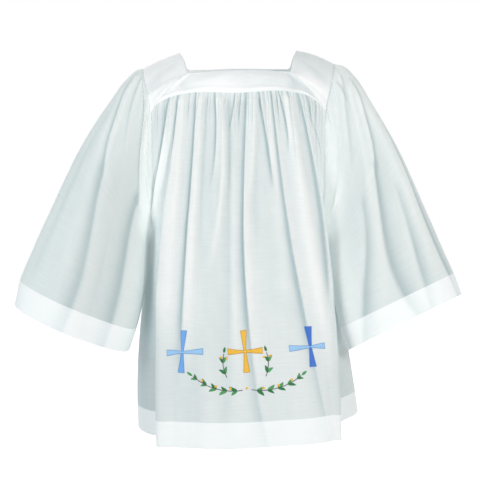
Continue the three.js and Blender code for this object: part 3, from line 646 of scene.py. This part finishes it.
def hemBand(name, surface, us, top, thick, uvSize, tone, closed=False, flip=False, outward=1.0):
    # doubled cloth: down the outside, round the fold at the bottom, and up the inside
    levels = spread(top, 1, 12)
    half = np.linspace(0, np.pi, 9)[1:-1]
    v = np.concatenate([levels, np.full(len(half), 1.0), levels[::-1]])
    inward = np.concatenate([0 * levels, thick / 2 * (1 - np.cos(half)), 0 * levels + thick])
    drop = np.concatenate([0 * levels, thick / 2 * np.sin(half), 0 * levels])
    uu, vv = np.meshgrid(us, v, indexing="ij")
    points = surface(uu, vv)
    normal = surfaceNormals(surface, uu, vv, outward)
    down = surface(uu, vv) - surface(uu, vv - 0.01)
    down = down / np.linalg.norm(down, axis=-1, keepdims=True)
    # a stitched line near the top of the turn-up, and a slightly pressed fold at the bottom
    stitched = -0.35 * np.exp(-((v - top - 0.004) / 0.0012) ** 2) * (inward == 0)
    points = points - normal * (inward - stitched)[None, :, None] + down * drop[None, :, None]
    uvU = np.append(us, us[0] + 1) if closed else us
    run = np.concatenate([levels, 1 + half * 0.0004, 1.002 + (1 - levels[::-1])])
    a, b = np.meshgrid(uvU, run, indexing="ij")
    uv = np.stack([a * uvSize[0], b * uvSize[1]], -1)
    mesh = gridMesh(name, points, uv, closedAcross=closed, flip=flip, closedDown=True, capEnds=not closed)
    # the hem gets the same painted shading, softened
    setPoints(mesh, "paintedShading", mix(paintedTone["hemPlain"], tone(uu, vv), paintedTone["hemFolds"]))
    mesh.set_sharp_from_angle(angle=math.radians(50))
    return mesh


# cloth
def newGroup(name, inputs, outputs):
    group = bpy.data.node_groups.new(name, "ShaderNodeTree")
    for label, kind, value in inputs:
        socket = group.interface.new_socket(name=label, in_out="INPUT", socket_type=kind)
        if value is not None:
            socket.default_value = value
    for label, kind in outputs:
        group.interface.new_socket(name=label, in_out="OUTPUT", socket_type=kind)
    return group, group.nodes.new("NodeGroupInput"), group.nodes.new("NodeGroupOutput")


def mathNode(tree, operation, a, b=None):
    node = tree.nodes.new("ShaderNodeMath")
    node.operation = operation
    for k, value in enumerate((a, b)):
        if value is None:
            continue
        if isinstance(value, (int, float)):
            node.inputs[k].default_value = value
        else:
            tree.links.new(value, node.inputs[k])
    return node.outputs[0]


def buildBatiste():
    # plain weave of fine threads with long uneven slubs, mostly across the cloth, and soft pressed wrinkles
    group, gin, gout = newGroup("batisteWeave", [
        ("Cloth UV", "NodeSocketVector", None), ("Thread", "NodeSocketFloat", 0.0006),
        ("Slub", "NodeSocketFloat", 0.5), ("Crumple", "NodeSocketFloat", 0.5)],
        [("Height", "NodeSocketFloat"), ("Tone", "NodeSocketFloat")])
    calc = lambda *terms: mathNode(group, *terms)
    split = group.nodes.new("ShaderNodeSeparateXYZ")
    group.links.new(gin.outputs["Cloth UV"], split.inputs[0])
    turns = [calc("DIVIDE", calc("MULTIPLY", split.outputs[k], 6.2832), gin.outputs["Thread"])
             for k in (0, 1)]
    weave = calc("MULTIPLY", *[calc("SINE", turn) for turn in turns])

    def stretched(sx, sy, detail):
        mapping = group.nodes.new("ShaderNodeMapping")
        mapping.inputs["Scale"].default_value = (sx, sy, 1)
        group.links.new(gin.outputs["Cloth UV"], mapping.inputs["Vector"])
        noise = group.nodes.new("ShaderNodeTexNoise")
        noise.noise_dimensions = "2D"
        noise.inputs["Scale"].default_value = 1
        noise.inputs["Detail"].default_value = detail
        group.links.new(mapping.outputs[0], noise.inputs["Vector"])
        return calc("SUBTRACT", noise.outputs[0], 0.5)

    def blend(a, b, share):
        return calc("ADD", a, calc("MULTIPLY", b, share))

    slubs = blend(stretched(14, 320, 3), stretched(380, 12, 3), 0.6)
    crumple = blend(stretched(26, 9, 3), stretched(60, 34, 2), 0.35)
    slubs = calc("MULTIPLY", slubs, gin.outputs["Slub"])
    crumple = calc("MULTIPLY", crumple, gin.outputs["Crumple"])
    height = blend(blend(calc("MULTIPLY", weave, 0.06), slubs, 0.35), crumple, 3.2)
    tone = blend(blend(calc("MULTIPLY", slubs, 0.18), crumple, 0.09), weave, 0.012)
    group.links.new(height, gout.inputs["Height"])
    group.links.new(calc("ADD", tone, 1.0), gout.inputs["Tone"])
    return group


batiste = buildBatiste()


def patternedMaterial(name, pattern, uvInput, settings, bump, bumpReach, rough, sheen):
    # a material whose relief and shade of colour come from a pattern group; its tint still needs a colour
    material = bpy.data.materials.new(name)
    material.use_nodes = True
    tree = material.node_tree
    shader = tree.nodes["Principled BSDF"]
    uv = tree.nodes.new("ShaderNodeUVMap")
    uv.uv_map = "cloth"
    node = tree.nodes.new("ShaderNodeGroup")
    node.node_tree = pattern
    for label, value in settings.items():
        node.inputs[label].default_value = value
    tree.links.new(uv.outputs[0], node.inputs[uvInput])
    tint = tree.nodes.new("ShaderNodeMix")
    tint.data_type = "RGBA"
    tint.blend_type = "MULTIPLY"
    tint.inputs["Factor"].default_value = 1.0
    tree.links.new(node.outputs["Tone"], tint.inputs["B"])
    tree.links.new(tint.outputs["Result"], shader.inputs["Base Color"])
    relief = tree.nodes.new("ShaderNodeBump")
    relief.inputs["Strength"].default_value = bump
    relief.inputs["Distance"].default_value = bumpReach
    tree.links.new(node.outputs["Height"], relief.inputs["Height"])
    tree.links.new(relief.outputs[0], shader.inputs["Normal"])
    shader.inputs["Roughness"].default_value = rough
    shader.inputs["Sheen Weight"].default_value = sheen
    return material, tree, shader, tint


def clothMaterial(name, colour, paintedShadeColour, uneven, rough):
    settings = {"Thread": 0.0007, "Slub": uneven, "Crumple": uneven}
    material, tree, shader, tint = patternedMaterial(name, batiste, "Cloth UV", settings,
                                                     0.5, 0.001, rough, 0.1)
    # painted shading: whitest on its ridges as a painted highlight, darkest down in its folds as painted
    # shade
    paintedShading = tree.nodes.new("ShaderNodeAttribute")
    paintedShading.attribute_name = "paintedShading"
    shade = tree.nodes.new("ShaderNodeMix")
    shade.data_type = "RGBA"
    shade.inputs["A"].default_value = (*paintedShadeColour, 1)
    shade.inputs["B"].default_value = (*colour, 1)
    tree.links.new(paintedShading.outputs["Fac"], shade.inputs["Factor"])
    tree.links.new(shade.outputs["Result"], tint.inputs["A"])
    # painted light: a glow in the cloth's own colour, all over and more where lit says; it keeps shadows pale
    lit = tree.nodes.new("ShaderNodeAttribute")
    lit.attribute_name = "lit"
    strength = mathNode(tree, "ADD", lit.outputs["Fac"], paintedGlow["through"])
    tree.links.new(strength, shader.inputs["Emission Strength"])
    tree.links.new(tint.outputs["Result"], shader.inputs["Emission Color"])
    shader.inputs["Sheen Roughness"].default_value = 0.4
    shader.inputs["Specular IOR Level"].default_value = 0.25
    return material


# the colour on ridges is a painted highlight and the colour in folds a painted shade
clothLooks = dict(  # colour on ridges, colour in folds, strength of slubs and crumples, roughness
    singleBatiste=((0.855, 0.876, 0.86), (0.45, 0.545, 0.565), 0.5, 0.85),
    sleeveBatiste=((0.765, 0.808, 0.795), (0.45, 0.53, 0.54), 0.5, 0.85),
    yokeBatiste=((0.97, 0.975, 0.97), (0.70, 0.75, 0.76), 0.4, 0.8),
    doubledBatiste=((0.97, 0.985, 0.98), (0.74, 0.80, 0.81), 0.4, 0.8))
cloths = {name: clothMaterial(name, *look) for name, look in clothLooks.items()}
print("surplice: materials made")

# body panels
panels = dict(across=520, down=80, thick=0.45, hemThick=1.3, width=1.06, length=0.80,
              hemLine=1 - stance["bodyHem"],
              cut_front=(0.95, 0.86), area_front=0.66, cut_back=(0.86, 0.86), area_back=0.62)
for face, front in (("front", True), ("back", False)):
    t = np.linspace(0, 1, panels["across"])
    us = mix(t, 0.5 - 0.5 * np.cos(np.pi * t), 0.25)
    tucked = np.linspace(-stance["tuck"], -0.002, 4)
    vs = np.concatenate([tucked, spread(0, panels["hemLine"], panels["down"], 0.5)])
    surface = lambda u, v: tuckedPanel(front, np.clip(u, 0, 1), v)
    size = (panels["width"], panels["length"])
    tone = lambda u, v: panelTone(front, u, v)
    mesh = clothSheet("body_" + face, surface, us, vs, size, tone, litPanel, flip=not front)
    body = addPiece("panel_" + face, mesh, cloths["singleBatiste"], ["body_" + face],
                    panels["thick"])
    band = hemBand("hem_" + face, surface, us, panels["hemLine"], panels["hemThick"], size, tone,
                   flip=not front, outward=1 if front else -1)
    hem = addPiece("panelHem_" + face, band, cloths["doubledBatiste"], ["hem_" + face])
    print("surplice: body", face)

# yoke
yokes = dict(across=260, down=44, thick=1.0, width=0.7, length=0.09)
for face, front in (("front", True), ("back", False)):
    surface = lambda u, v: yokeSurface(front, np.clip(u, 0, 1), v)
    tone = lambda u, v: yokeTone(front, u, v)
    mesh = clothSheet("yoke_" + face, surface, spread(0, 1, yokes["across"]), spread(0, 1.0, yokes["down"]),
                      (yokes["width"], yokes["length"]), tone, flip=not front)
    yoke = addPiece("shoulderYoke_" + face, mesh, cloths["yokeBatiste"], ["yoke_" + face],
                    yokes["thick"])
print("surplice: yoke")

# sleeves
sleeves = dict(round=420, down=92, thick=0.45, hemThick=1.3, width=0.80, length=0.56,
               cuffLine=1 - stance["cuffHem"], cut=(0.95, 0.60), area=0.42)
for name, side in (("left", -1), ("right", 1)):
    us = np.arange(sleeves["round"]) / sleeves["round"]
    tucked = np.linspace(-stance["tuck"], -0.0015, 7)
    vs = np.concatenate([tucked, spread(0, sleeves["cuffLine"], sleeves["down"], 0.5)])
    surface = lambda u, v: tuckedSleeve(side, u, v)
    size = (sleeves["width"], sleeves["length"])
    tone = lambda u, v: sleeveTone(side, u, v)
    lit = lambda u, v: litSleeve(side, u, v)
    mesh = clothSheet("sleeve_" + name, surface, us, vs, size, tone, lit, closed=True, flip=side > 0)
    sleeve = addPiece("bellSleeve_" + name, mesh, cloths["sleeveBatiste"], ["sleeve_" + name],
                      sleeves["thick"])
    band = hemBand("cuff_" + name, surface, us, sleeves["cuffLine"], sleeves["hemThick"], size, tone,
                   closed=True, flip=side > 0, outward=-side)
    cuff = addPiece("cuffHem_" + name, band, cloths["doubledBatiste"], ["cuff_" + name])
print("surplice: sleeves")

# embroidery
embroidery = dict(centre=(0.518, 0.729), panelRun=820, armHalf=(2.4, 7.0), pillow=0.9, split=0.6, outline=0.6,
                  stem=0.8, leaf=20, leafHalf=4.0, leafTurn=32, leafHeight=0.7, berry=3.0, pairs=5)
satinColours = dict(
    gold=(0.98, 0.56, 0.05), goldDark=(0.62, 0.27, 0.02), sky=(0.36, 0.64, 0.95), mid=(0.17, 0.44, 0.92),
    deep=(0.05, 0.18, 0.68), skyDark=(0.12, 0.30, 0.62), leafDark=(0.02, 0.21, 0.06),
    leafMid=(0.06, 0.34, 0.10), stem=(0.075, 0.04, 0.055))
# centre u and v, colours and leans in degrees of upright and bar, reach up, down, left, right in mm
crosses = dict(
    crossLeft=(0.277, 0.732, "mid", "sky", 3, -3, 50, 47, 38, 47),
    crossCentre=(0.518, 0.729, "gold", "gold", -2, 0, 48, 48, 39, 40),
    crossRight=(0.713, 0.729, "deep", "sky", 1, 0, 47, 46, 47, 27))


def buildSatin():
    # side-by-side stitches: a cosine along the motif, with a little unevenness from stitch to stitch
    group, gin, gout = newGroup("satinStitch", [
        ("Stitch UV", "NodeSocketVector", None), ("Spacing", "NodeSocketFloat", 0.0009)],
        [("Height", "NodeSocketFloat"), ("Tone", "NodeSocketFloat")])
    calc = lambda *terms: mathNode(group, *terms)
    split = group.nodes.new("ShaderNodeSeparateXYZ")
    group.links.new(gin.outputs["Stitch UV"], split.inputs[0])
    slant = calc("ADD", split.outputs[0], calc("MULTIPLY", split.outputs[1], 0.25))
    stitches = calc("COSINE", calc("DIVIDE", calc("MULTIPLY", slant, 6.2832), gin.outputs["Spacing"]))
    noise = group.nodes.new("ShaderNodeTexNoise")
    noise.noise_dimensions = "2D"
    noise.inputs["Scale"].default_value = 420
    group.links.new(gin.outputs["Stitch UV"], noise.inputs["Vector"])
    uneven = calc("SUBTRACT", noise.outputs[0], 0.5)
    group.links.new(calc("ADD", stitches, uneven), gout.inputs["Height"])
    tone = calc("ADD", calc("MULTIPLY", stitches, 0.07), calc("MULTIPLY", uneven, 0.35))
    group.links.new(calc("ADD", tone, 1.0), gout.inputs["Tone"])
    return group


satin = buildSatin()


def threadMaterial(name):
    settings = {"Spacing": 0.0009}
    material, _, _, tint = patternedMaterial("thread_" + name, satin, "Stitch UV", settings,
                                             0.35, 0.0002, 0.42, 0.15)
    tint.inputs["A"].default_value = (*satinColours[name], 1)
    return material


threads = {name: threadMaterial(name) for name in satinColours}
rowU = np.linspace(0, 1, 401)
rowPoints = plainPanel(True, rowU, 0 * rowU + embroidery["centre"][1])
rowLength = np.concatenate([[0], np.cumsum(np.linalg.norm(np.diff(rowPoints, axis=0), axis=-1))])


def onCloth(place, a, b, lift):
    # a mm across and b mm down the cloth from a place on the front, raised along the cloth's normal
    middle = np.interp(place[0], rowU, rowLength)
    u = np.interp(middle + a, rowLength, rowU)
    v = place[1] + b / embroidery["panelRun"]
    surface = lambda p, q: panelSurface(True, p, q)
    return surface(u, v) + surfaceNormals(surface, u, v) * lift[..., None]


def sideOf(paths):
    # unit direction to the side of each path, a quarter turn from its own direction
    along = np.gradient(paths, axis=-2)
    along = along / np.linalg.norm(along, axis=-1, keepdims=True)
    return np.stack([along[..., 1], -along[..., 0]], -1)


def runOf(paths):
    steps = np.linalg.norm(np.diff(paths, axis=-2), axis=-1)
    return np.concatenate([0 * steps[..., :1], np.cumsum(steps, -1)], -1)


def pillows(place, paths, half, height, around=20):
    # satin stitch over padding: rings round each path, two low ridges on top, flat and sunk below
    turn = 2 * np.pi * (np.arange(around) + 0.5) / around
    across, top = np.cos(turn), np.sin(turn) > 0
    ridges = np.sqrt(np.clip(1 - (2 * np.abs(across) - 1) ** 2, 0, 1))
    ridges = mix(np.sqrt(1 - across ** 2), ridges, embroidery["split"])
    lift = np.where(top, height * ridges, -0.3) * np.ones(paths.shape[:-1] + (1,))
    ring = paths[..., None, :] + sideOf(paths)[..., None, :] * (half[..., None] * across)[..., None]
    uv = np.stack([runOf(paths)[..., None] + 0 * lift, half[..., None] * across + 0 * lift], -1) * 0.001
    return onCloth(place, ring[..., 0], ring[..., 1], lift), uv


def cords(place, paths, radius, around=8):
    # stem stitch: a round tube with a slow twist of its surface, tapered at both ends
    turn = 2 * np.pi * np.arange(around) / around
    run = runOf(paths)
    ends = np.minimum(run, run[..., -1:] - run)
    thick = radius * np.clip(ends / radius + 0.15, 0, 1)
    twist = 1 + 0.16 * np.sin(run[..., None] * 2.6 + turn)
    size = thick[..., None] * twist
    ring = paths[..., None, :] + sideOf(paths)[..., None, :] * (size * np.cos(turn))[..., None]
    uv = np.stack([run[..., None] + 0 * size, size * np.cos(turn)], -1) * 0.001
    return onCloth(place, ring[..., 0], ring[..., 1], 0.3 + size * np.sin(turn)), uv


def knots(place, centres, radius, rings=7, around=12):
    # round knots: half a ball over each centre, from its foot to a closed top
    tilt = np.linspace(-0.35, np.pi / 2 - 0.12, rings)
    turn = -2 * np.pi * np.arange(around) / around
    wide, lift = radius * np.cos(tilt)[:, None], 0.8 * radius * np.sin(tilt)[:, None] + 0 * turn
    a = centres[:, 0, None, None] + wide * np.cos(turn)
    b = centres[:, 1, None, None] + wide * np.sin(turn)
    lift = lift[None] + 0 * a
    uv = np.stack([wide * np.cos(turn) + 0 * a, wide * np.sin(turn) + 0 * a], -1) * 0.001
    return onCloth(place, a, b, lift), uv


def stitchPiece(name, groups):
    # one mesh from sets of closed rings; each group is its points and UVs [motif, ring, around] and a thread
    materials = list(dict.fromkeys(thread for _, _, thread in groups))
    co, loops, counts, uvs, slots, base = [], [], [], [], [], 0
    for points, uv, thread in groups:
        points, uv = points.reshape(-1, *points.shape[-3:]), uv.reshape(-1, *uv.shape[-3:])
        k, n, m = points.shape[:3]
        start = base + np.arange(k)[:, None, None] * n * m
        i, j = np.arange(n - 1)[None, :, None] * m, np.arange(m)[None, None, :]
        j2 = (j + 1) % m
        corner = start + i
        quads = np.stack([corner + j, corner + j2, corner + m + j2, corner + m + j], -1).reshape(-1)
        first = (start + np.arange(m)[None, None, ::-1]).reshape(-1)
        last = (start + (n - 1) * m + j).reshape(-1)
        flat = uv.reshape(-1, 2)
        for part in (quads, first, last):
            loops.append(part)
            uvs.append(flat[part - base])
        counts += [np.full(len(quads) // 4, 4), np.full(2 * k, m)]
        slots.append(np.full(len(quads) // 4 + 2 * k, materials.index(thread)))
        co.append(points.reshape(-1, 3) * 0.001)
        base += k * n * m
    co, loops, counts, uvs = map(np.concatenate, (co, loops, counts, uvs))
    mesh = meshOf(name, co, loops, np.cumsum(counts) - counts, uvs)
    for thread in materials:
        mesh.materials.append(threads[thread])
    mesh.polygons.foreach_set("material_index", np.concatenate(slots).astype(np.int32))
    piece = bpy.data.objects.new(name, mesh)
    bpy.context.scene.collection.objects.link(piece)
    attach(piece, "root")
    return piece


def rotated(points, degrees):
    c, s = math.cos(math.radians(degrees)), math.sin(math.radians(degrees))
    return np.stack([c * points[..., 0] - s * points[..., 1], s * points[..., 0] + c * points[..., 1]], -1)


def crossArms(reaches, turns):
    # straight centre lines out from the middle, and a half width that flares towards the end
    t = np.linspace(0.02, 1, 40)
    lines = np.stack([rotated(np.stack([t * reach, 0 * t], -1), turn) for reach, turn in zip(reaches, turns)])
    narrow, wide = embroidery["armHalf"]
    half = np.tile(narrow + (wide - narrow) * t ** 1.15, (len(reaches), 1))
    return lines, half


def armOutlines(lines, half):
    # out along one side, across the end, and back along the other
    left, right = lines + sideOf(lines) * half[..., None], lines - sideOf(lines) * half[..., None]
    end = mix(left[:, -1:], right[:, -1:], np.linspace(0, 1, 12)[None, 1:-1, None])
    return np.concatenate([left, end, right[:, ::-1]], 1)


darker = dict(gold="goldDark", sky="skyDark", mid="skyDark", deep="skyDark")
for name, (u, v, upright, bar, lean, barLean, up, down, left, right) in crosses.items():
    groups = []
    for thread, reaches, turns, lift in ((upright, (up, down), (lean - 90, lean + 90), 1.15),
                                         (bar, (left, right), (barLean + 180, barLean), 1.0)):
        lines, half = crossArms(reaches, turns)
        groups.append((*pillows((u, v), lines, half, embroidery["pillow"] * lift), thread))
        groups.append((*cords((u, v), armOutlines(lines, half), embroidery["outline"]), darker[thread]))
    stitchPiece(name, groups)


def leafSpray(stem, first, last, pairs, size):
    # pointed leaves in pairs along a stem, smaller towards its tip, and one more at the tip
    run = np.linspace(0, 1, len(stem))
    at = np.concatenate([np.repeat(np.linspace(first, last, pairs), 2), [1.0]])
    side = np.concatenate([np.tile([-1, 1], pairs), [0]])
    foot = np.stack([np.interp(at, run, stem[:, k]) for k in (0, 1)], -1)
    along = np.gradient(stem, axis=0)
    along = np.stack([np.interp(at, run, along[:, k]) for k in (0, 1)], -1)
    heading = np.degrees(np.arctan2(along[:, 1], along[:, 0])) + side * embroidery["leafTurn"]
    t = np.linspace(0, 1, 12)
    length = size * (1 - 0.3 * at) * (1 + 0.12 * np.sin(9 * at + 2 * side))
    lines = []
    for f, h, l, s in zip(foot, heading, length, side):
        blade = np.stack([t * l + 1.2, -s * 1.6 * np.sin(np.pi * t)], -1)
        lines.append(f + rotated(blade, h))
    half = embroidery["leafHalf"] * np.clip(np.sin(np.pi * t ** 0.8), 0, 1) ** 0.8 + 0.12
    return np.array(lines), np.tile(half, (len(lines), 1)) * (length / size)[:, None]


def curve(a, b, c, count=60):
    t = np.linspace(0, 1, count)[:, None]
    return quadratic(np.array(a, float), np.array(b, float), np.array(c, float), t)


sprigs = dict(  # millimetres across and down from the middle cross, for the +X side; the other is its mirror
    low=((9, 88), (66, 87), (121, 60)), lowTilt=3, lowLeaves=(0.10, 0.90), lowBerries=(14, 31, 47),
    berryLift=5.5,
    tall=((43, 60), (51, 34), (49, 4)), tallLeaves=(0.16, 0.62), tallPairs=2, tallLeaf=0.95,
    tallBerries=((7, 9), (-6.5, 11)), middleBerry=(0, 84))
place = embroidery["centre"]
stems, leaves, halves, berries = [], [], [], []
for mirror in (-1, 1):
    flip = np.array([mirror, 1.0])
    low, tall = curve(*sprigs["low"]) * flip, curve(*sprigs["tall"]) * flip
    low[:, 1] += sprigs["lowTilt"] * mirror * np.linspace(0, 1, len(low))
    for stem, ends, pairs, size in ((low, sprigs["lowLeaves"], embroidery["pairs"], embroidery["leaf"]),
                                    (tall, sprigs["tallLeaves"], sprigs["tallPairs"],
                                     embroidery["leaf"] * sprigs["tallLeaf"])):
        lines, half = leafSpray(stem, *ends, pairs, size)
        stems.append(stem)
        leaves.append(lines)
        halves.append(half)
    berries += [low[k] - np.array([0, sprigs["berryLift"]]) for k in sprigs["lowBerries"]]
    berries += [tall[-1] + np.array([a * mirror, b]) for a, b in sprigs["tallBerries"]]
berries.append(np.array(sprigs["middleBerry"]))
leaves, halves = np.concatenate(leaves), np.concatenate(halves)
paler = np.arange(len(leaves)) % 2 == 0
tall = embroidery["leafHeight"]
stitchPiece("sprigLeaves", [(*pillows(place, leaves[some], halves[some], tall, 12), thread)
                            for some, thread in ((paler, "leafMid"), (~paler, "leafDark"))])
stitchPiece("sprigStems", [(*cords(place, np.array(stems), embroidery["stem"]), "stem")])
stitchPiece("sprigBerries", [(*knots(place, np.array(berries), embroidery["berry"]), "gold")])
print("surplice: embroidery")

# room and light
room = dict(floor=-1.5, ambient=0.34, background=1.0)
bpy.ops.mesh.primitive_plane_add(size=30, location=(0, 0, room["floor"]))
floor = bpy.context.object
floor.name = "paleFloor"
floorPaint = bpy.data.materials.new("paleFloor")
floorPaint.use_nodes = True
floorTree = floorPaint.node_tree
floorShader = floorTree.nodes["Principled BSDF"]
floorShader.inputs["Base Color"].default_value = (0.9, 0.9, 0.9, 1)
floorShader.inputs["Emission Color"].default_value = (1, 1, 1, 1)
floorSeen = floorTree.nodes.new("ShaderNodeLightPath")
floorTree.links.new(floorSeen.outputs["Is Camera Ray"], floorShader.inputs["Emission Strength"])
floor.data.materials.append(floorPaint)

world = bpy.data.worlds.new("studio")
bpy.context.scene.world = world
world.use_nodes = True
tree = world.node_tree
tree.nodes.clear()
seen = tree.nodes.new("ShaderNodeLightPath")
pick, worldOut = tree.nodes.new("ShaderNodeMixShader"), tree.nodes.new("ShaderNodeOutputWorld")
tree.links.new(seen.outputs["Is Camera Ray"], pick.inputs[0])
for k, strength in ((1, room["ambient"]), (2, room["background"])):
    glow = tree.nodes.new("ShaderNodeBackground")
    glow.inputs["Color"].default_value = (1, 1, 1, 1)
    glow.inputs["Strength"].default_value = strength
    tree.links.new(glow.outputs[0], pick.inputs[k])
tree.links.new(pick.outputs[0], worldOut.inputs[0])

aim = Vector((0, 0, -0.45))
lamps = [  # name, degrees round from the front (left is negative), degrees up, distance, width, power, colour
    ("keyRight", 31, 20, 3.6, 0.7, 52, (1, 1, 0.99)),
    ("fillLeft", -56, 20, 3.6, 1.6, 40, (0.90, 0.965, 1)),
    ("behindRight", 148, 24, 3.6, 1.6, 34, (1, 1, 1)),
    ("behindLeft", -138, 24, 3.6, 1.6, 26, (0.95, 0.98, 1)),
]
for name, aside, up, far, wide, power, colour in lamps:
    lamp = bpy.data.lights.new(name, "AREA")
    lamp.shape = "DISK"
    lamp.size, lamp.energy, lamp.color = wide, power, colour
    holder = bpy.data.objects.new(name, lamp)
    a, e = math.radians(aside), math.radians(up)
    fromAim = Vector((math.sin(a) * math.cos(e), -math.cos(a) * math.cos(e), math.sin(e)))
    holder.location = aim + fromAim * far
    holder.rotation_euler = fromAim.to_track_quat("Z", "Y").to_euler()
    bpy.context.scene.collection.objects.link(holder)
bpy.context.scene.view_settings.view_transform = "Standard"
bpy.context.scene.view_settings.look = "None"

print("surplice: done")
